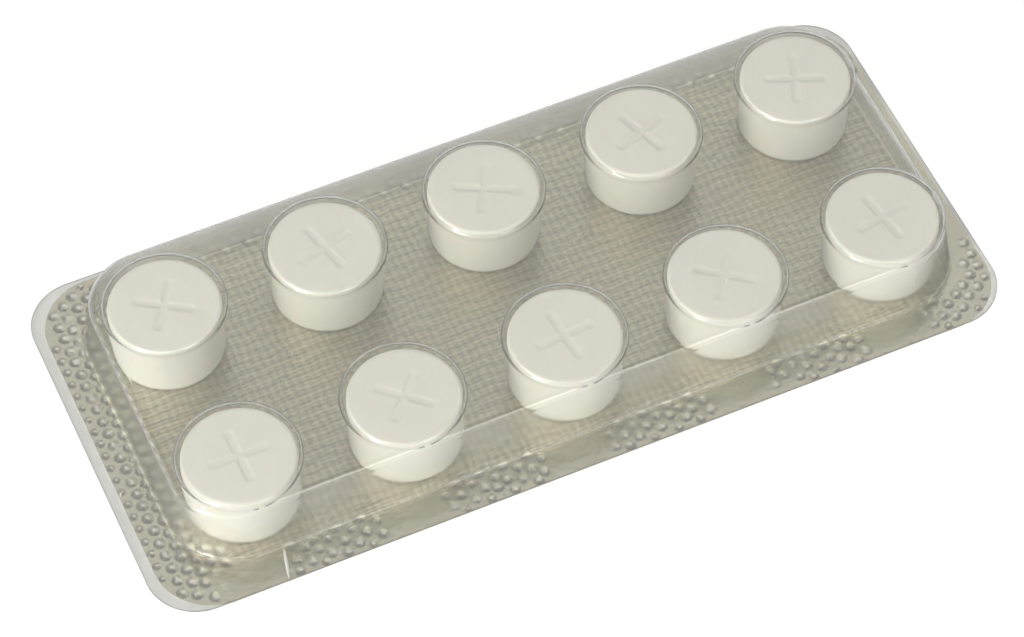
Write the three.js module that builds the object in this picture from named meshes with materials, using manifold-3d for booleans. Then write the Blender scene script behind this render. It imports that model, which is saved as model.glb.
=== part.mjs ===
import * as THREE from "three";
import { mergeVertices } from "three/addons/utils/BufferGeometryUtils.js";
import Module from "manifold-3d";

// A blister strip of round cleaning tablets, lying with its foil down.
// A clear film tray has one raised platform with a shallow round pocket over each tablet,
// a foil is sealed under the tray's flange, and the tablets stand on the foil.
// Millimetres, +Z up, X along the strip, origin at the middle of the underside.

// Tablets
const tabletDiameter = 15;
const tabletHeight = 8.8;
const tabletChamfer = 0.4;
const scoreLength = 8.6;
const scoreWidth = 1.1;
const scoreDepth = 0.3;

// Grid of tablets
const columns = 5;
const rows = 2;
const columnPitch = 22.9;
const rowPitch = 26;
const tabletTurn = THREE.MathUtils.degToRad(137.5); // from one tablet to the next

// Film tray
const filmThickness = 0.4;
const pocketClearance = 0.4; // beside a tablet
const pocketHeadroom = 0.3; // over a tablet
const pocketRise = 0.8; // of a pocket's top over the platform
const pocketDraft = 0.1;
const pocketInnerRounding = 0.1;
const rimLeft = 1; // between the feet of the outer pockets and the platform's wall
const rimRight = 0.1;
const rimFront = 0.2;
const rimBack = 1.7;
const platformInnerRounding = 0.25;
const wallDraft = 1; // how far a wall leans out from the platform to the flange
const flangeLeft = 5.65; // flange outside the walls
const flangeRight = 3.6;
const flangeFront = 5.15;
const flangeBack = 3.4;
const flangeCornerRadius = 7;

// Foil
const foilThickness = 0.12;
const foilSetbackLeft = 1.5; // from the edge of the film
const foilSetbackRight = 0.4;
const foilSetbackFront = 0.15;
const foilSetbackBack = 0.35;
const foilCornerExtra = 1; // of the foil's corner radius over the film's

// Steps of the round shapes
const roundSteps = 36;
const cornerSteps = 10;
const edgeSteps = 3;

const tabletRadius = tabletDiameter / 2;
const tabletShift = pocketClearance / 2; // how far a tablet stands off the middle of its pocket
const pocketRadius = tabletRadius + pocketClearance;
const pocketFootRadius = pocketRadius + filmThickness + pocketDraft;
const pocketRounding = pocketInnerRounding + filmThickness;
const platformRounding = platformInnerRounding + filmThickness;
const foilCornerRadius = flangeCornerRadius + foilCornerExtra;
const ceiling = foilThickness + tabletHeight + pocketHeadroom;
const pocketTop = ceiling + filmThickness;
const platformTop = pocketTop - pocketRise;
const gridLength = (columns - 1) * columnPitch + 2 * pocketFootRadius;
const gridWidth = (rows - 1) * rowPitch + 2 * pocketFootRadius;
const platformLength = gridLength + rimLeft + rimRight;
const platformWidth = gridWidth + rimFront + rimBack;
const flangeLength = platformLength + 2 * wallDraft + flangeLeft + flangeRight;
const flangeWidth = platformWidth + 2 * wallDraft + flangeFront + flangeBack;
const platformX = (flangeLeft - flangeRight) / 2;
const platformY = (flangeFront - flangeBack) / 2;
const gridX = platformX + (rimLeft - rimRight) / 2;
const gridY = platformY + (rimFront - rimBack) / 2;

const wasm = await Module();
wasm.setup();

function solidOf(geometry) {
  const bare = geometry.index ? geometry.toNonIndexed() : geometry.clone();
  bare.deleteAttribute("normal");
  bare.deleteAttribute("uv");
  const merged = mergeVertices(bare);
  return new wasm.Manifold(
    new wasm.Mesh({
      numProp: 3,
      vertProperties: merged.attributes.position.array,
      triVerts: new Uint32Array(merged.index.array),
    }),
  );
}

function geometryOf(solid) {
  const mesh = solid.getMesh();
  const geometry = new THREE.BufferGeometry();
  geometry.setAttribute("position", new THREE.BufferAttribute(new Float32Array(mesh.vertProperties), 3));
  geometry.setIndex(new THREE.BufferAttribute(new Uint32Array(mesh.triVerts), 1));
  geometry.computeVertexNormals();
  return geometry;
}

function roundedRectangle(length, width, radius, x = 0, y = 0) {
  const right = x + length / 2 - radius;
  const left = x - length / 2 + radius;
  const back = y + width / 2 - radius;
  const front = y - width / 2 + radius;
  const quarter = Math.PI / 2;
  const shape = new THREE.Shape();
  shape.absarc(right, back, radius, 0, quarter, false);
  shape.absarc(left, back, radius, quarter, 2 * quarter, false);
  shape.absarc(left, front, radius, 2 * quarter, 3 * quarter, false);
  shape.absarc(right, front, radius, 3 * quarter, 4 * quarter, false);
  return shape;
}

function plate(shape, bottom, thickness) {
  const geometry = new THREE.ExtrudeGeometry(shape, {
    depth: thickness,
    bevelEnabled: false,
    curveSegments: cornerSteps / 2,
  });
  return geometry.translate(0, 0, bottom);
}

// The heights and outward growths of an edge that is rounded from a wall into a top.
function roundedEdge(grow, top, rounding) {
  return Array.from({ length: edgeSteps + 1 }, (_, step) => {
    const angle = (step / edgeSteps) * (Math.PI / 2);
    return {
      grow: grow - rounding * (1 - Math.cos(angle)),
      z: top - rounding * (1 - Math.sin(angle)),
    };
  });
}

// The platform as a full body, grown sideways, with leaning walls and a rounded top edge.
function platformBody(grow, bottom, top, rounding) {
  const levels = [{ grow: grow + wallDraft, z: bottom }, ...roundedEdge(grow, top, rounding)];
  const outlines = levels.map((level) =>
    roundedRectangle(
      platformLength + 2 * level.grow,
      platformWidth + 2 * level.grow,
      pocketFootRadius + level.grow,
      platformX,
      platformY,
    ).getPoints(cornerSteps / 2),
  );
  const count = outlines[0].length;
  const positions = outlines.flatMap((outline, level) =>
    outline.flatMap((point) => [point.x, point.y, levels[level].z]),
  );
  const cap = THREE.ShapeUtils.triangulateShape(outlines[0], []);
  const last = (levels.length - 1) * count;
  const faces = cap.flatMap(([a, b, c]) => [a, c, b, last + a, last + b, last + c]);
  for (let level = 0; level < levels.length - 1; level += 1) {
    for (let i = 0; i < count; i += 1) {
      const a = level * count + i;
      const b = level * count + ((i + 1) % count);
      faces.push(a, b, b + count, a, b + count, a + count);
    }
  }
  const geometry = new THREE.BufferGeometry();
  geometry.setAttribute("position", new THREE.Float32BufferAttribute(positions, 3));
  geometry.setIndex(faces);
  return solidOf(geometry);
}

function lathe(points) {
  const profile = points.map(([radius, z]) => new THREE.Vector2(radius, z));
  return new THREE.LatheGeometry(profile, roundSteps).rotateX(Math.PI / 2);
}

// One pocket as a full body: a low round boss with a rounded top edge.
function pocketBody(place, radius, bottom, top, rounding) {
  const rounded = roundedEdge(radius, top, rounding).map((level) => [level.grow, level.z]);
  const profile = [[0, bottom], [radius + pocketDraft, bottom], ...rounded, [0, top]];
  return solidOf(lathe(profile).translate(place.x, place.y, 0));
}

function pocketPlaces() {
  const places = [];
  for (let row = 0; row < rows; row += 1) {
    for (let column = 0; column < columns; column += 1) {
      places.push({
        name: `${row === 0 ? "front" : "back"}_${column + 1}`,
        x: gridX + (column - (columns - 1) / 2) * columnPitch,
        y: gridY + (row - (rows - 1) / 2) * rowPitch,
      });
    }
  }
  return places;
}

function trayGeometry(places) {
  const flange = plate(
    roundedRectangle(flangeLength, flangeWidth, flangeCornerRadius),
    foilThickness,
    filmThickness,
  );
  let outside = solidOf(flange).add(platformBody(0, foilThickness, platformTop, platformRounding));
  let inside = platformBody(
    -filmThickness,
    foilThickness - filmThickness,
    platformTop - filmThickness,
    platformInnerRounding,
  );
  for (const place of places) {
    const outerRadius = pocketRadius + filmThickness;
    const seam = platformTop - filmThickness / 2;
    outside = outside.add(pocketBody(place, outerRadius, seam, pocketTop, pocketRounding));
    const below = seam - filmThickness;
    inside = inside.add(pocketBody(place, pocketRadius, below, ceiling, pocketInnerRounding));
  }
  return geometryOf(outside.subtract(inside));
}

function foilGeometry() {
  const length = flangeLength - foilSetbackLeft - foilSetbackRight;
  const width = flangeWidth - foilSetbackFront - foilSetbackBack;
  const x = (foilSetbackLeft - foilSetbackRight) / 2;
  const y = (foilSetbackFront - foilSetbackBack) / 2;
  return plate(roundedRectangle(length, width, foilCornerRadius, x, y), 0, foilThickness);
}

// A flat pressed tablet with chamfered edges and a plain cross score on its top.
function tabletGeometry() {
  const side = tabletRadius - tabletChamfer;
  const body = solidOf(
    lathe([
      [0, 0],
      [side, 0],
      [tabletRadius, tabletChamfer],
      [tabletRadius, tabletHeight - tabletChamfer],
      [side, tabletHeight],
      [0, tabletHeight],
    ]),
  );
  const groove = (length, width) =>
    solidOf(new THREE.BoxGeometry(length, width, 2 * scoreDepth).translate(0, 0, tabletHeight));
  const scored = body.subtract(groove(scoreLength, scoreWidth)).subtract(groove(scoreWidth, scoreLength));
  return geometryOf(scored);
}

const clearFilm = new THREE.MeshStandardMaterial({
  color: 0xe6e8e2,
  roughness: 0.12,
  metalness: 0,
  transparent: true,
  opacity: 0.3,
});
const aluminiumFoil = new THREE.MeshStandardMaterial({
  color: 0xb3b1a4,
  roughness: 0.35,
  metalness: 0.9,
});
const pressedPowder = new THREE.MeshStandardMaterial({
  color: 0xe2e1d8,
  roughness: 0.8,
  metalness: 0,
});

function mesh(name, geometry, material) {
  const made = new THREE.Mesh(geometry, material);
  made.name = name;
  return made;
}

const strip = new THREE.Group();
const places = pocketPlaces();
strip.add(mesh("foil_backing", foilGeometry(), aluminiumFoil));
places.forEach((place, index) => {
  const tablet = mesh(`tablet_${place.name}`, tabletGeometry(), pressedPowder);
  const direction = 2 * index * tabletTurn;
  tablet.position.set(
    place.x + tabletShift * Math.cos(direction),
    place.y + tabletShift * Math.sin(direction),
    foilThickness,
  );
  tablet.rotation.z = index * tabletTurn;
  strip.add(tablet);
});
strip.add(mesh("film_tray", trayGeometry(places), clearFilm));

export default strip;
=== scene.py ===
import math

import bmesh
import bpy
from bpy.props import FloatProperty, FloatVectorProperty, IntProperty, PointerProperty
from mathutils import Matrix, Quaternion, Vector, noise


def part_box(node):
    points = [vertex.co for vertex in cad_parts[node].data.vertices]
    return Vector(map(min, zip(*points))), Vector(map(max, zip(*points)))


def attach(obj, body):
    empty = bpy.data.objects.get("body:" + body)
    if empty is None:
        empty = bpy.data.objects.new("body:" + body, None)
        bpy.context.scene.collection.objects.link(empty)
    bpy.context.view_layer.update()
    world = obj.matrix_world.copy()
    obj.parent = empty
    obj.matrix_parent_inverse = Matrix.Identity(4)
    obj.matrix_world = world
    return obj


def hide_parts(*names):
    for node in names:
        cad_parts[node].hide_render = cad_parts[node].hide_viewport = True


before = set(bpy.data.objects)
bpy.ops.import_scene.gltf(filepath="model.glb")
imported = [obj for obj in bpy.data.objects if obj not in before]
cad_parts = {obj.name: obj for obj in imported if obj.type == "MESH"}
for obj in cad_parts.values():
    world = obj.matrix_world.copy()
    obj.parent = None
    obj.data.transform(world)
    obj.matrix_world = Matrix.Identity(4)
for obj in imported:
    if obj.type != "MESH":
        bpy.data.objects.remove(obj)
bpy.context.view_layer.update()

bl_info = {
    "name": "Tablet blister strip",
    "version": (1, 0, 0),
    "blender": (4, 5, 0),
    "location": "View3D > Sidebar > Blister strip",
    "description": "Builds a clear blister strip of pressed tablets on a knurled foil",
    "category": "Add Mesh",
}

MM = 0.001
FULL_TURN = 2 * math.pi
QUARTER = math.pi / 2

# Places in the film's and in the foil's list of materials
WHITENED, CUT = 1, 2
LINEN, SEALED = 0, 1

# What the frame gives
TABLETS = [name for name in sorted(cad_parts) if name.startswith("tablet")]
ROW_ORDER = sorted(TABLETS, key=lambda name: ("back" in name, name))
FILM_LOW, FILM_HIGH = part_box("film_tray")
FOIL_LOW, FOIL_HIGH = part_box("foil_backing")


def widest_tablet():
    """The tablets' diameter: the widest of their faceted boxes."""
    return max((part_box(name)[1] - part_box(name)[0]).x for name in TABLETS)


def length(name, description, millimetres):
    """A length that is given in millimetres."""
    return FloatProperty(
        name=name, description=description, default=millimetres * MM, unit="LENGTH", precision=5
    )


def angle(name, description, degrees):
    """An angle that is given in degrees."""
    return FloatProperty(
        name=name, description=description, default=math.radians(degrees), subtype="ANGLE"
    )


def colour(name, description, code):
    """A colour that is given as an sRGB hex code."""
    return FloatVectorProperty(
        name=name,
        description=description,
        default=linear(code),
        subtype="COLOR",
        size=3,
        min=0,
        max=1,
    )


def linear(code):
    """An sRGB hex code such as "C0FFEE" as linear red, green and blue."""
    shares = [int(code[i : i + 2], 16) / 255 for i in (0, 2, 4)]
    return tuple(s / 12.92 if s <= 0.04045 else ((s + 0.055) / 1.055) ** 2.4 for s in shares)


class TabletSettings(bpy.types.PropertyGroup):
    diameter: FloatProperty(
        name="Diameter", description="Across a tablet", default=widest_tablet(), unit="LENGTH"
    )
    edge: length("Edge", "Radius of the rounding round both faces", 0.4)
    score: length("Score", "Length of each arm of the cross score, from end to end", 8.6)
    score_width: length("Score width", "Width of the cross score", 1.6)
    score_depth: length("Score depth", "Depth of the cross score", 0.13)
    turn: angle("Turn", "From one tablet to the next", 137.5)
    steps: IntProperty(name="Steps", description="Steps round a tablet", default=96, min=24)
    powder: colour("Powder", "Colour of the pressed powder", "E9E7DE")


class FilmSettings(bpy.types.PropertyGroup):
    thickness: length("Thickness", "Of the formed film", 0.22)
    flange_top: length("Flange top", "Height of the flange's top", 0.52)
    platform_top: length("Platform top", "Height of the platform", 8.82)
    flange_left: length("Flange left", "Width of the flange left of the wall", 5.65)
    flange_right: length("Flange right", "Width of the flange right of the wall", 3.6)
    flange_front: length("Flange front", "Width of the flange in front of the wall", 5.15)
    flange_back: length("Flange back", "Width of the flange behind the wall", 3.4)
    lean: length("Lean", "How far a wall leans out over its height", 1)
    flange_corner: length("Flange corner", "Corner radius of the flange", 7)
    platform_corner: length("Platform corner", "Corner radius of the platform", 8.4)
    foot_round: length("Foot rounding", "Radius between the flange and a wall", 0.6)
    top_round: length("Top rounding", "Radius between a wall and the platform", 1.3)
    pocket_clearance: length("Pocket clearance", "Between a tablet and its pocket", 0.57)
    pocket_round: length("Pocket rounding", "Radius round the top of a pocket", 0.68)
    pocket_draft: length("Pocket draft", "How far the wall of a pocket leans out at its foot", 0.1)
    crease_length: length("Crease", "Length of the crease in the front flange", 4.8)
    crease_x: length("Crease X", "Middle of the crease, along the strip", -43.1)
    crease_y: length("Crease Y", "Middle of the crease, across the strip", -25.2)
    crease_turn: angle("Crease turn", "Direction of the crease", 76)
    tint: colour("Tint", "Colour of the film", "F8F8F5")
    white: colour("Stress white", "Colour of the film along its crease", "F2F1EA")
    # Painted shade: grey standing in for the dark look of the clear film's cut edge
    cut: colour("Cut edge", "Colour of the film's cut edge", "8E8E8A")


class FoilSettings(bpy.types.PropertyGroup):
    sheet: length("Sheet", "Thickness of the foil", 0.05)
    corner: length("Corner", "Corner radius of the foil", 8)
    relief: length("Relief", "Height of the knurl over the sheet", 0.22)
    along: length("Pitch along", "Between columns of the knurl, along the strip", 1.65)
    across: length("Pitch across", "Between knurl bumps across the strip", 2.05)
    left_extra: length("Left extra", "How far the knurl reaches in past the left wall", 2.2)
    smooth_half: length("Smooth half", "Half of each smooth stretch in the front margin", 3.5)
    smooth_shift: length("Smooth shift", "From a tablet's middle to its smooth stretch", 3.3)
    metal: colour("Metal", "Colour of the foil", "D3CEBB")
    # Painted shade: the darker colour in the valleys of the linen
    valley_shade: colour("Valley", "Colour of the foil in the valleys of its linen", "98937D")
    # Painted highlight: near-white on the tips of the knurl's bumps
    bump_highlight: colour("Bump", "Colour of the foil on the bumps of its knurl", "F8F5EA")
    # Painted shade: the darker colour between the knurl's bumps
    net_shade: colour("Net", "Colour of the foil between the bumps of its knurl", "CDC9B7")


class StageSettings(bpy.types.PropertyGroup):
    azimuth: angle("Azimuth", "Camera round the strip", -23.59)
    elevation: angle("Elevation", "Camera over the table", 54.475)
    roll: angle("Roll", "Camera roll", -0.645)
    distance: length("Distance", "From the camera to its aim", 524.4)
    lens: FloatProperty(name="Lens", description="Focal length in millimetres", default=139.08)
    aim_x: length("Aim X", "Where the camera aims, along the strip", -1.31)
    aim_y: length("Aim Y", "Where the camera aims, across the strip", -1.81)
    table: colour("Table", "Colour of the table", "DADAD8")


def new_object(name, bm):
    """An object at the origin from a finished bmesh, with its normals outwards."""
    bmesh.ops.recalc_face_normals(bm, faces=bm.faces)
    mesh = bpy.data.meshes.new(name)
    bm.to_mesh(mesh)
    bm.free()
    made = bpy.data.objects.new(name, mesh)
    bpy.context.scene.collection.objects.link(made)
    return made


def smooth(made, angle):
    """Smooth shading, with edges sharper than the angle kept."""
    made.data.shade_smooth()
    made.data.set_sharp_from_angle(angle=angle)


def place_piece(made, slot, *nodes):
    """Ties a finished piece to the frame and hides the frame's parts that it stands for."""
    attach(made, "root")
    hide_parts(*nodes)


def apply_modifiers(made):
    """Turns an object with modifiers into its finished mesh."""
    graph = bpy.context.evaluated_depsgraph_get()
    mesh = bpy.data.meshes.new_from_object(made.evaluated_get(graph))
    made.modifiers.clear()
    made.data = mesh


def combine(made, tool, operation):
    """Joins another closed object to this one, or cuts it away, and removes it."""
    change = made.modifiers.new("combine", "BOOLEAN")
    change.object = tool
    change.operation = operation
    change.solver = "EXACT"
    apply_modifiers(made)
    bpy.data.objects.remove(tool)


class Outline:
    """A rounded rectangle that can be grown on all sides."""

    def __init__(self, low, high, radius):
        self.low, self.high, self.radius = Vector(low[:2]), Vector(high[:2]), radius

    def grown(self, by):
        """The same outline, larger by this much on each side."""
        step = Vector((by, by))
        return Outline(self.low - step, self.high + step, self.radius + by)

    def depth(self, x, y):
        """How far inside a point lies, up to the corner radius, or below 0 outside."""
        middle, half = (self.low + self.high) / 2, (self.high - self.low) / 2
        out_x = max(abs(x - middle.x) - half.x + self.radius, 0)
        out_y = max(abs(y - middle.y) - half.y + self.radius, 0)
        return self.radius - math.hypot(out_x, out_y)


def outline_loop(bm, outline, height, corner_steps=16):
    """A loop of edges round an outline: a circle whose quarters are drawn out to the corners."""
    circle = bmesh.ops.create_circle(bm, segments=4 * corner_steps, radius=outline.radius)["verts"]
    half_step = Matrix.Rotation(FULL_TURN / (8 * corner_steps), 3, "Z")
    bmesh.ops.rotate(bm, verts=circle, matrix=half_step)
    middle = (outline.low + outline.high) / 2
    reach = (outline.high - outline.low) / 2 - Vector((outline.radius, outline.radius))
    for vert in circle:
        x = middle.x + math.copysign(reach.x, vert.co.x) + vert.co.x
        y = middle.y + math.copysign(reach.y, vert.co.y) + vert.co.y
        vert.co = (x, y, height)
    return list({edge for vert in circle for edge in vert.link_edges})


def stacked_body(bm, levels):
    """A closed body through outlines at given heights."""
    loops = [outline_loop(bm, outline, height) for outline, height in levels]
    for lower, upper in zip(loops, loops[1:]):
        bmesh.ops.bridge_loops(bm, edges=lower + upper)
    bmesh.ops.edgeloop_fill(bm, edges=loops[0])
    bmesh.ops.edgeloop_fill(bm, edges=loops[-1])


def arc(centre, radius, start, end, steps):
    """Points on an arc in a profile, as (outward, height)."""
    angles = [start + (end - start) * i / steps for i in range(steps + 1)]
    return [(centre[0] + radius * math.cos(a), centre[1] + radius * math.sin(a)) for a in angles]


def spin_profile(bm, profile, steps):
    """A closed round body from a profile of (radius, height) that starts and ends on the axis."""
    verts = [bm.verts.new((radius, 0, height)) for radius, height in profile]
    edges = [bm.edges.new(pair) for pair in zip(verts, verts[1:])]
    bmesh.ops.spin(
        bm,
        geom=verts + edges,
        axis=(0, 0, 1),
        cent=(0, 0, 0),
        angle=FULL_TURN,
        steps=steps,
        use_merge=True,
    )
    bmesh.ops.remove_doubles(bm, verts=bm.verts, dist=0.001 * MM)


def add_node(tree, kind, links=None, **settings):
    """Adds a node. Settings name its options or its inputs, and links its inputs and their sources."""
    node = tree.nodes.new(kind)
    for key, value in settings.items():
        if hasattr(node, key):
            setattr(node, key, value)
        else:
            node.inputs[key.replace("_", " ")].default_value = value
    for key, source in (links or {}).items():
        tree.links.new(source, node.inputs[key])
    return node


def new_material(name):
    """A material and its node tree, which is still empty."""
    made = bpy.data.materials.new(name)
    made.use_nodes = True
    made.node_tree.nodes.clear()
    return made, made.node_tree


def smooth_step(value):
    """From 0 to 1 with a soft start and a soft end."""
    value = min(max(value, 0), 1)
    return value * value * (3 - 2 * value)


def pressed_powder(settings):
    """Pressed detergent powder: matte white with a faint waxy sheen and a fine grain."""
    material, tree = new_material("pressed white powder")
    place = add_node(tree, "ShaderNodeTexCoord").outputs["Object"]
    grain = add_node(tree, "ShaderNodeTexNoise", {"Vector": place}, Scale=1 / (0.35 * MM), Detail=3)
    patches = add_node(tree, "ShaderNodeTexNoise", {"Vector": place}, Scale=1 / (4 * MM), Detail=4)
    tone = add_node(tree, "ShaderNodeMix", {"Factor": patches.outputs["Fac"]}, data_type="RGBA")
    tone.inputs["A"].default_value = (*[0.94 * c for c in settings.powder], 1)
    tone.inputs["B"].default_value = (*settings.powder, 1)
    relief = add_node(
        tree, "ShaderNodeBump", {"Height": grain.outputs["Fac"]}, Strength=0.25, Distance=0.05 * MM
    )
    shader = add_node(
        tree,
        "ShaderNodeBsdfPrincipled",
        {"Base Color": tone.outputs["Result"], "Normal": relief.outputs["Normal"]},
        Roughness=0.42,
        IOR=1.5,
    )
    shader.inputs["Subsurface Weight"].default_value = 0.15
    shader.inputs["Subsurface Scale"].default_value = 0.6 * MM
    add_node(tree, "ShaderNodeOutputMaterial", {"Surface": shader.outputs["BSDF"]})
    return material


def formed_film(settings):
    """Clear vacuum-formed vinyl film: glossy where it lies flat, hazy where it is drawn into walls."""
    material, tree = new_material("clear formed vinyl film")
    coordinates = add_node(tree, "ShaderNodeTexCoord")
    place, facing = coordinates.outputs["Object"], coordinates.outputs["Normal"]
    waves = add_node(tree, "ShaderNodeTexNoise", {"Vector": place}, Scale=1 / (9 * MM), Detail=2)
    relief = add_node(
        tree, "ShaderNodeBump", {"Height": waves.outputs["Fac"]}, Strength=0.35, Distance=0.3 * MM
    )
    apart = add_node(tree, "ShaderNodeSeparateXYZ", {"Vector": facing})
    flat = add_node(tree, "ShaderNodeMath", {0: apart.outputs["Z"]}, operation="ABSOLUTE")
    wall_roughness, flat_roughness = 0.16, 0.08
    haze = add_node(tree, "ShaderNodeMath", {0: flat.outputs["Value"]}, operation="MULTIPLY_ADD")
    haze.inputs[1].default_value = flat_roughness - wall_roughness
    haze.inputs[2].default_value = wall_roughness
    shader = add_node(
        tree,
        "ShaderNodeBsdfPrincipled",
        {"Normal": relief.outputs["Normal"], "Roughness": haze.outputs["Value"]},
        IOR=1.5,
    )
    shader.inputs["Base Color"].default_value = (*settings.tint, 1)
    shader.inputs["Transmission Weight"].default_value = 0.95
    # Light from the lamps passes straight through
    clear = add_node(tree, "ShaderNodeBsdfTransparent")
    clear.inputs["Color"].default_value = (*settings.tint, 1)
    path = add_node(tree, "ShaderNodeLightPath")
    surface = add_node(tree, "ShaderNodeMixShader", {"Fac": path.outputs["Is Shadow Ray"]})
    tree.links.new(shader.outputs["BSDF"], surface.inputs[1])
    tree.links.new(clear.outputs["BSDF"], surface.inputs[2])
    add_node(tree, "ShaderNodeOutputMaterial", {"Surface": surface.outputs["Shader"]})
    return material


def stressed_film(settings):
    """Film whitened where it was bent: translucent white."""
    material, tree = new_material("stress-whitened film")
    shader = add_node(tree, "ShaderNodeBsdfPrincipled", Roughness=0.2, IOR=1.5)
    shader.inputs["Base Color"].default_value = (*settings.white, 1)
    shader.inputs["Transmission Weight"].default_value = 0.1
    add_node(tree, "ShaderNodeOutputMaterial", {"Surface": shader.outputs["BSDF"]})
    return material


def cut_edge_shade(settings):
    """The cut edge of the film, with painted shade: a grey colour stands in for the darkness the clear
    edge shows where light is led away inside it.
    """
    material, tree = new_material("cut film edge with painted shade")
    shader = add_node(tree, "ShaderNodeBsdfPrincipled", Roughness=0.4, IOR=1.5)
    shader.inputs["Base Color"].default_value = (*settings.cut, 1)
    shader.inputs["Transmission Weight"].default_value = 0.3
    add_node(tree, "ShaderNodeOutputMaterial", {"Surface": shader.outputs["BSDF"]})
    return material


def bands(tree, place, direction, period, distortion):
    """Ridges at a given period along an axis, with a hand-made unevenness."""
    period_at_scale_one = math.pi / 10
    return add_node(
        tree,
        "ShaderNodeTexWave",
        {"Vector": place},
        bands_direction=direction,
        Scale=period_at_scale_one / period,
        Distortion=distortion,
        Detail=2,
    ).outputs["Fac"]


def sealed_foil(settings):
    """The foil's sealed margin: satin aluminium, with a painted highlight on the tips of the knurl's
    bumps and painted shade between them.
    """
    material, tree = new_material("sealed aluminium foil margin")
    place = add_node(tree, "ShaderNodeTexCoord").outputs["Object"]
    apart = add_node(tree, "ShaderNodeSeparateXYZ", {"Vector": place})
    height = add_node(tree, "ShaderNodeMath", {0: apart.outputs["Z"]}, operation="MULTIPLY_ADD")
    height.inputs[1].default_value = 1 / settings.relief
    height.inputs[2].default_value = -settings.sheet / settings.relief
    # Painted highlight and shade: the colour runs with height from the darker net colour at the sheet
    # to the near-white bump colour at the tips of the knurl
    tone = add_node(tree, "ShaderNodeMix", {"Factor": height.outputs["Value"]}, data_type="RGBA")
    tone.inputs["A"].default_value = (*settings.net_shade, 1)
    tone.inputs["B"].default_value = (*settings.bump_highlight, 1)
    crinkle = add_node(tree, "ShaderNodeTexNoise", {"Vector": place}, Scale=1 / (0.9 * MM), Detail=3)
    relief = add_node(
        tree, "ShaderNodeBump", {"Height": crinkle.outputs["Fac"]}, Strength=0.6, Distance=0.16 * MM
    )
    shader = add_node(
        tree,
        "ShaderNodeBsdfPrincipled",
        {"Base Color": tone.outputs["Result"], "Normal": relief.outputs["Normal"]},
        Metallic=1,
        Roughness=0.17,
    )
    add_node(tree, "ShaderNodeOutputMaterial", {"Surface": shader.outputs["BSDF"]})
    return material


def linen_foil(settings):
    """Hard aluminium foil with a fine linen pressed into it: satin metal, with painted shade that
    darkens the valleys of the linen.
    """
    material, tree = new_material("linen aluminium foil")
    place = add_node(tree, "ShaderNodeTexCoord").outputs["Object"]
    along = bands(tree, place, "Y", 0.62 * MM, 3)
    across = bands(tree, place, "X", 1.1 * MM, 4)
    broad_along = bands(tree, place, "Y", 1.5 * MM, 6)
    pair = add_node(tree, "ShaderNodeMath", {0: broad_along, 1: across}, operation="ADD")
    linen = add_node(tree, "ShaderNodeMath", {0: along}, operation="MULTIPLY_ADD")
    along_weight = 1.4
    linen.inputs[1].default_value = along_weight
    tree.links.new(pair.outputs["Value"], linen.inputs[2])
    share = add_node(tree, "ShaderNodeMath", {0: linen.outputs["Value"]}, operation="MULTIPLY")
    share.inputs[1].default_value = 1 / (2 + along_weight)
    # Painted shade: the colour darkens from the metal colour to the valley colour down into the
    # linen's valleys
    tone = add_node(tree, "ShaderNodeMix", {"Factor": share.outputs["Value"]}, data_type="RGBA")
    tone.inputs["A"].default_value = (*settings.valley_shade, 1)
    tone.inputs["B"].default_value = (*settings.metal, 1)
    crinkle = add_node(tree, "ShaderNodeTexNoise", {"Vector": place}, Scale=1 / (2.2 * MM), Detail=3)
    fine = add_node(
        tree, "ShaderNodeBump", {"Height": linen.outputs["Value"]}, Strength=1, Distance=0.018 * MM
    )
    broad = add_node(
        tree,
        "ShaderNodeBump",
        {"Height": crinkle.outputs["Fac"], "Normal": fine.outputs["Normal"]},
        Strength=0.5,
        Distance=0.15 * MM,
    )
    shader = add_node(
        tree,
        "ShaderNodeBsdfPrincipled",
        {"Base Color": tone.outputs["Result"], "Normal": broad.outputs["Normal"]},
        Metallic=1,
        Roughness=0.24,
    )
    add_node(tree, "ShaderNodeOutputMaterial", {"Surface": shader.outputs["BSDF"]})
    return material


class BLISTER_OT_tablets(bpy.types.Operator):
    """Presses the tablets: flat round tablets with bevelled edges and a plain cross score"""

    bl_idname = "blister.tablets"
    bl_label = "Tablets"

    def profile(self, radius, height, edge):
        """From the middle of the underside, up the side and back to the middle of the top."""
        lower = arc((radius - edge, edge), edge, -QUARTER, 0, 6)
        upper = [(r, height - z) for r, z in reversed(lower)]
        rings = 30
        top = [((radius - edge) * (1 - i / rings), height) for i in range(1, rings + 1)]
        return [(0, 0), *lower, *upper, *top]

    def score(self, settings, place):
        """How deep the cross score is at a place on the top."""
        soft = 0.6 * MM

        def arm(along, across):
            end = smooth_step((settings.score / 2 - abs(along)) / soft)
            side = smooth_step((settings.score_width / 2 - abs(across)) / soft)
            return end * side

        return settings.score_depth * max(arm(place.x, place.y), arm(place.y, place.x))

    def execute(self, context):
        settings = context.scene.blister_tablets
        material = pressed_powder(settings)
        for index, name in enumerate(ROW_ORDER):
            low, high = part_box(name)
            height = high.z - low.z
            bm = bmesh.new()
            profile = self.profile(settings.diameter / 2, height, settings.edge)
            spin_profile(bm, profile, settings.steps)
            for vert in bm.verts:
                if vert.co.z > height - 0.01 * MM:
                    vert.co.z -= self.score(settings, vert.co)
            turn = Matrix.Rotation(index * settings.turn, 3, "Z")
            bmesh.ops.rotate(bm, verts=bm.verts, matrix=turn)
            middle = (low + high) / 2
            bmesh.ops.translate(bm, verts=bm.verts, vec=(middle.x, middle.y, low.z))
            made = new_object(name.replace("tablet", "pressed_tablet"), bm)
            smooth(made, math.radians(50))
            made.data.materials.append(material)
            place_piece(made, "tablet", name)
        return {"FINISHED"}


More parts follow.
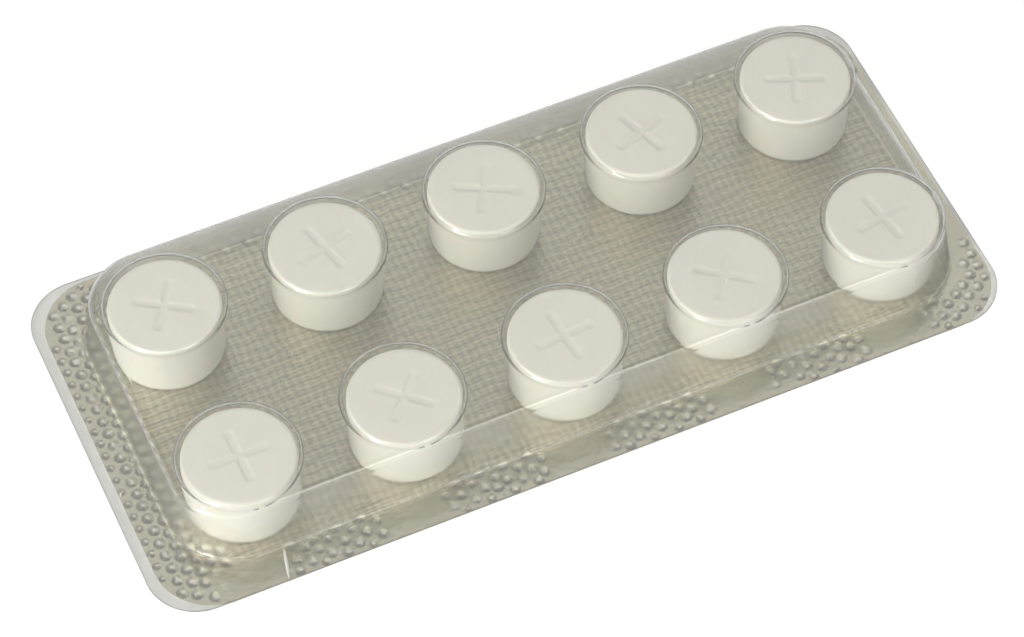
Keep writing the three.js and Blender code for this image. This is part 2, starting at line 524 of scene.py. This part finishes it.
def film_outlines(settings):
    """The outlines of the flange and of the platform, taken from the frame's film tray."""
    flange = Outline(FILM_LOW, FILM_HIGH, settings.flange_corner)
    lean = settings.lean
    low = flange.low + Vector((settings.flange_left + lean, settings.flange_front + lean))
    high = flange.high - Vector((settings.flange_right + lean, settings.flange_back + lean))
    return flange, Outline(low, high, settings.platform_corner)


class BLISTER_OT_film(bpy.types.Operator):
    """Forms the film: a flange, a platform with leaning walls and a round pocket over each tablet"""

    bl_idname = "blister.film"
    bl_label = "Film tray"

    def outer_levels(self, settings, flange, platform):
        """Outlines of the outside, from the underside of the flange to the platform."""
        nick = 0.06 * MM
        top, underside = settings.flange_top, settings.flange_top - settings.thickness
        levels = [
            (flange.grown(-nick), underside),
            (flange, underside + nick),
            (flange, top - nick),
            (flange.grown(-nick), top),
        ]
        foot = (settings.lean + settings.foot_round, top + settings.foot_round)
        wall = arc(foot, settings.foot_round, -QUARTER, -2 * QUARTER, 6)
        shoulder = (-settings.top_round, settings.platform_top - settings.top_round)
        wall += arc(shoulder, settings.top_round, 0, QUARTER, 8)
        return levels + [(platform.grown(out), height) for out, height in wall]

    def inner_levels(self, settings, platform):
        """Outlines of the hollow, from below the flange to under the platform."""
        top, thickness = settings.flange_top, settings.thickness
        foot = (settings.lean + settings.foot_round, top + settings.foot_round)
        wall = [(foot[0], -top)]
        wall += arc(foot, settings.foot_round + thickness, -QUARTER, -2 * QUARTER, 6)
        shoulder = (-settings.top_round, settings.platform_top - settings.top_round)
        wall += arc(shoulder, settings.top_round - thickness, 0, QUARTER, 8)
        return [(platform.grown(out), height) for out, height in wall]

    def pockets(self, profile, steps=96):
        """A round body over each tablet."""
        bm = bmesh.new()
        spin_profile(bm, profile, steps)
        first, *others = pocket_places()
        pattern = bm.verts[:] + bm.edges[:] + bm.faces[:]
        bmesh.ops.translate(bm, verts=bm.verts, vec=first)
        for place in others:
            copy = bmesh.ops.duplicate(bm, geom=pattern)["geom"]
            moved = [item for item in copy if isinstance(item, bmesh.types.BMVert)]
            bmesh.ops.translate(bm, verts=moved, vec=place - first)
        return new_object("pockets", bm)

    def outer_pocket(self, settings, radius):
        """A profile that reaches down into the platform, so that the two join."""
        top, round_ = FILM_HIGH.z, settings.pocket_round
        low = settings.platform_top - 1.2 * MM
        profile = [(0, low), (radius + settings.pocket_draft, low)]
        profile += arc((radius - round_, top - round_), round_, 0, QUARTER, 6)
        return profile + [(0, top)]

    def inner_pocket(self, settings, radius):
        """A profile that reaches down into the hollow under the platform."""
        top = FILM_HIGH.z - settings.thickness
        round_ = settings.pocket_round - settings.thickness
        low = settings.platform_top - 1.6 * MM
        profile = [(0, low), (radius, low)]
        profile += arc((radius - round_, top - round_), round_, 0, QUARTER, 4)
        return profile + [(0, top)]

    def crease(self, settings):
        """A thin raised crease across the front flange."""
        bm = bmesh.new()
        bmesh.ops.create_uvsphere(bm, u_segments=24, v_segments=12, radius=1)
        half_width, rise = 0.22 * MM, 0.3 * MM
        half_size = (settings.crease_length / 2, half_width, rise)
        bmesh.ops.scale(bm, verts=bm.verts, vec=half_size)
        for face in bm.faces:
            face.material_index = WHITENED
        bmesh.ops.rotate(bm, verts=bm.verts, matrix=Matrix.Rotation(settings.crease_turn, 3, "Z"))
        place = (settings.crease_x, settings.crease_y, settings.flange_top)
        bmesh.ops.translate(bm, verts=bm.verts, vec=place)
        return new_object("crease", bm)

    def execute(self, context):
        settings = context.scene.blister_film
        flange, platform = film_outlines(settings)
        materials = (formed_film(settings), stressed_film(settings), cut_edge_shade(settings))
        bm = bmesh.new()
        stacked_body(bm, self.outer_levels(settings, flange, platform))
        bm.normal_update()
        for face in bm.faces:
            highest = max(vert.co.z for vert in face.verts)
            if abs(face.normal.z) < 0.9 and highest <= settings.flange_top:
                face.material_index = CUT
        made = new_object("clear_film", bm)
        for material in materials:
            made.data.materials.append(material)
        pocket = context.scene.blister_tablets.diameter / 2 + settings.pocket_clearance
        outer = self.outer_pocket(settings, pocket + settings.thickness)
        combine(made, self.pockets(outer), "UNION")
        bm = bmesh.new()
        stacked_body(bm, self.inner_levels(settings, platform))
        combine(made, new_object("hollow", bm), "DIFFERENCE")
        combine(made, self.pockets(self.inner_pocket(settings, pocket)), "DIFFERENCE")
        crease = self.crease(settings)
        for material in materials:
            crease.data.materials.append(material)
        combine(made, crease, "UNION")
        smooth(made, math.radians(40))
        even = made.modifiers.new("even shading", "WEIGHTED_NORMAL")
        even.keep_sharp = True
        apply_modifiers(made)
        place_piece(made, "clear_film", "film_tray")
        return {"FINISHED"}


def pocket_places():
    """The middle of each pocket: the mean place of its row and of its column of tablets."""
    middles = {name: (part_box(name)[0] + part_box(name)[1]) / 2 for name in TABLETS}
    columns = sorted({name.split("_")[2] for name in TABLETS})
    rows = sorted({name.split("_")[1] for name in TABLETS})

    def mean(values):
        values = list(values)
        return sum(values) / len(values)

    for row in rows:
        y = mean(middles[name].y for name in TABLETS if f"_{row}_" in name)
        for column in columns:
            x = mean(middles[name].x for name in TABLETS if name.endswith(column))
            yield Vector((x, y, 0))


class BLISTER_OT_foil(bpy.types.Operator):
    """Lays the foil: a thin sheet with a knurl pressed into its sealed margin"""

    bl_idname = "blister.foil"
    bl_label = "Foil"

    def knurl(self, bm, settings, sheet, open_area):
        """Low bumps in staggered columns, wherever the film is sealed to the foil."""
        columns = int((sheet.high.x - sheet.low.x) / settings.along) + 1
        rows = int((sheet.high.y - sheet.low.y) / settings.across) + 2
        first_column, first_row = 0.65 * MM, 0.7 * MM
        patch, jitter_patch, fade = 2 * MM, 0.7 * MM, 1.5 * MM
        widest, narrowest, tip_share = 0.9 * MM, 0.5 * MM, 0.3
        low = settings.sheet - 0.01 * MM
        smooth_middles = sorted({place.x - settings.smooth_shift for place in pocket_places()})
        for column in range(columns):
            x = sheet.low.x + first_column + column * settings.along
            past = min(abs(x - middle) for middle in smooth_middles) - settings.smooth_half
            for row in range(rows):
                y = sheet.low.y + first_row + (row + 0.5 * (column % 2)) * settings.across
                if open_area.depth(x - settings.left_extra, y) > 0:
                    continue
                spot = Vector((x, y, 0))
                front = y < open_area.low.y and x < open_area.high.x
                height = settings.relief * min(1, 0.85 + 0.5 * noise.noise(spot / patch))
                if front:
                    height *= smooth_step(past / fade)
                if height < 0.2 * settings.relief:
                    continue
                stray = 0.5 if front else 0.15
                spot += noise.noise_vector(spot / jitter_patch) * stray * MM
                radius = min(widest, sheet.depth(spot.x, spot.y))
                if radius < narrowest:
                    continue
                bmesh.ops.create_cone(
                    bm,
                    cap_ends=True,
                    segments=8,
                    radius1=radius,
                    radius2=tip_share * radius,
                    depth=height,
                    matrix=Matrix.Translation((spot.x, spot.y, low + height / 2)),
                )
        for face in bm.faces:
            face.material_index = SEALED
        inside = max(bm.faces, key=lambda face: face.calc_area() if face.normal.z > 0 else 0)
        inside.material_index = LINEN

    def execute(self, context):
        settings = context.scene.blister_foil
        _, platform = film_outlines(context.scene.blister_film)
        sheet = Outline(FOIL_LOW, FOIL_HIGH, settings.corner)
        open_area = platform.grown(context.scene.blister_film.lean)
        top = FOIL_LOW.z + settings.sheet
        bm = bmesh.new()
        stacked_body(bm, [(sheet, FOIL_LOW.z), (sheet, top), (open_area, top)])
        bmesh.ops.recalc_face_normals(bm, faces=bm.faces)
        self.knurl(bm, settings, sheet, open_area)
        made = new_object("knurled_foil", bm)
        smooth(made, math.radians(35))
        for material in (linen_foil(settings), sealed_foil(settings)):
            made.data.materials.append(material)
        place_piece(made, "foil", "foil_backing")
        return {"FINISHED"}


class BLISTER_OT_stage(bpy.types.Operator):
    """Sets the pale table, the soft lamps and the camera"""

    bl_idname = "blister.stage"
    bl_label = "Stage"

    def table(self, settings):
        """A pale table that the camera sees as white wherever light falls on it."""
        bm = bmesh.new()
        bmesh.ops.create_grid(bm, x_segments=1, y_segments=1, size=2.5)
        made = new_object("table", bm)
        material, tree = new_material("pale table")
        matte = add_node(tree, "ShaderNodeBsdfDiffuse")
        matte.inputs["Color"].default_value = (*settings.table, 1)
        white = add_node(tree, "ShaderNodeEmission", Strength=1.4)
        path = add_node(tree, "ShaderNodeLightPath")
        direct = add_node(
            tree,
            "ShaderNodeMath",
            {0: path.outputs["Is Camera Ray"], 1: path.outputs["Is Glossy Ray"]},
            operation="MAXIMUM",
        )
        # Painted shade: where the table is seen through the film, its white is dimmed to stand in for
        # light lost in the film
        through_film = add_node(
            tree, "ShaderNodeMath", {0: path.outputs["Is Transmission Ray"]}, operation="MULTIPLY_ADD"
        )
        share_lost_in_film, white_share = 0.8, 0.6
        through_film.inputs[1].default_value = -share_lost_in_film
        through_film.inputs[2].default_value = 1
        seen = add_node(
            tree,
            "ShaderNodeMath",
            {0: direct.outputs["Value"], 1: through_film.outputs["Value"]},
            operation="MULTIPLY",
        )
        share = add_node(tree, "ShaderNodeMath", {0: seen.outputs["Value"]}, operation="MULTIPLY")
        share.inputs[1].default_value = white_share
        surface = add_node(tree, "ShaderNodeMixShader", {"Fac": share.outputs["Value"]})
        tree.links.new(matte.outputs["BSDF"], surface.inputs[1])
        tree.links.new(white.outputs["Emission"], surface.inputs[2])
        add_node(tree, "ShaderNodeOutputMaterial", {"Surface": surface.outputs["Shader"]})
        made.data.materials.append(material)

    def surroundings(self):
        """White for the camera. As a light they are strongest low down and in front."""
        world = bpy.data.worlds.new("white surroundings")
        bpy.context.scene.world = world
        world.use_nodes = True
        tree = world.node_tree
        tree.nodes.clear()
        way = add_node(tree, "ShaderNodeTexCoord").outputs["Generated"]
        apart = add_node(tree, "ShaderNodeSeparateXYZ", {"Vector": way})
        low = add_node(
            tree, "ShaderNodeMath", {1: apart.outputs["Z"]}, operation="SUBTRACT", use_clamp=True
        )
        low.inputs[0].default_value = 1
        glow = add_node(
            tree,
            "ShaderNodeMath",
            {0: low.outputs["Value"], 1: low.outputs["Value"]},
            operation="MULTIPLY",
        )
        beside, more_in_front, overhead = 1.45, 0.8, 0.155
        side = add_node(tree, "ShaderNodeMath", {0: apart.outputs["Y"]}, operation="MULTIPLY_ADD")
        side.inputs[1].default_value = -more_in_front
        side.inputs[2].default_value = beside
        light = add_node(
            tree,
            "ShaderNodeMath",
            {0: glow.outputs["Value"], 1: side.outputs["Value"]},
            operation="MULTIPLY_ADD",
        )
        light.inputs[2].default_value = overhead
        path = add_node(tree, "ShaderNodeLightPath")
        strength = add_node(
            tree,
            "ShaderNodeMath",
            {0: light.outputs["Value"], 1: path.outputs["Is Camera Ray"]},
            operation="MAXIMUM",
        )
        back = add_node(tree, "ShaderNodeBackground", {"Strength": strength.outputs["Value"]})
        back.inputs["Color"].default_value = (1, 1, 1, 1)
        add_node(tree, "ShaderNodeOutputWorld", {"Surface": back.outputs["Background"]})

    def lamp(self, name, place, size, power):
        """A square soft lamp that faces the strip."""
        light = bpy.data.lights.new(name, "AREA")
        light.shape = "RECTANGLE"
        light.size, light.size_y = size, size
        light.energy = power
        made = bpy.data.objects.new(name, light)
        made.location = place
        made.rotation_euler = Vector(place).to_track_quat("Z", "Y").to_euler()
        bpy.context.scene.collection.objects.link(made)

    def camera(self, settings):
        """A camera at the photograph's angle, which looks at a point on the table."""
        a, e = settings.azimuth, settings.elevation
        back = Vector((math.sin(a) * math.cos(e), -math.cos(a) * math.cos(e), math.sin(e)))
        data = bpy.data.cameras.new("camera")
        data.lens = settings.lens
        data.sensor_width = 36
        data.clip_start = 0.01
        made = bpy.data.objects.new("camera", data)
        made.rotation_mode = "QUATERNION"
        made.rotation_quaternion = Quaternion(back, settings.roll) @ back.to_track_quat("Z", "Y")
        made.location = Vector((settings.aim_x, settings.aim_y, 0)) + back * settings.distance
        bpy.context.scene.collection.objects.link(made)
        bpy.context.scene.camera = made

    def execute(self, context):
        settings = context.scene.blister_stage
        context.scene.view_settings.view_transform = "Standard"
        self.table(settings)
        self.surroundings()
        self.lamp("left softbox", (-0.8, -0.42, 0.32), 0.3, 3.4)
        self.lamp("left lamp", (-0.5, -0.06, 0.78), 0.08, 0.75)
        self.lamp("front softbox", (0.2, -0.62, 0.72), 0.35, 1.15)
        self.lamp("back card", (0.25, 0.58, 0.9), 0.8, 1.35)
        self.camera(settings)
        return {"FINISHED"}


class BLISTER_PT_panel(bpy.types.Panel):
    """Lists the steps in the sidebar of the 3D view"""

    bl_label = "Blister strip"
    bl_space_type = "VIEW_3D"
    bl_region_type = "UI"
    bl_category = "Blister strip"

    def draw(self, context):
        for operator in OPERATORS:
            self.layout.operator(operator.bl_idname)


GROUPS = {
    "blister_tablets": TabletSettings,
    "blister_film": FilmSettings,
    "blister_foil": FoilSettings,
    "blister_stage": StageSettings,
}
OPERATORS = [BLISTER_OT_stage, BLISTER_OT_foil, BLISTER_OT_tablets, BLISTER_OT_film]
CLASSES = [*GROUPS.values(), *OPERATORS, BLISTER_PT_panel]


def register():
    for made in CLASSES:
        bpy.utils.register_class(made)
    for name, group in GROUPS.items():
        setattr(bpy.types.Scene, name, PointerProperty(type=group))


def unregister():
    for name in GROUPS:
        delattr(bpy.types.Scene, name)
    for made in reversed(CLASSES):
        bpy.utils.unregister_class(made)


def main():
    register()
    bpy.ops.blister.stage()
    bpy.ops.blister.foil()
    bpy.ops.blister.tablets()
    bpy.ops.blister.film()


if __name__ == "__main__":
    main()
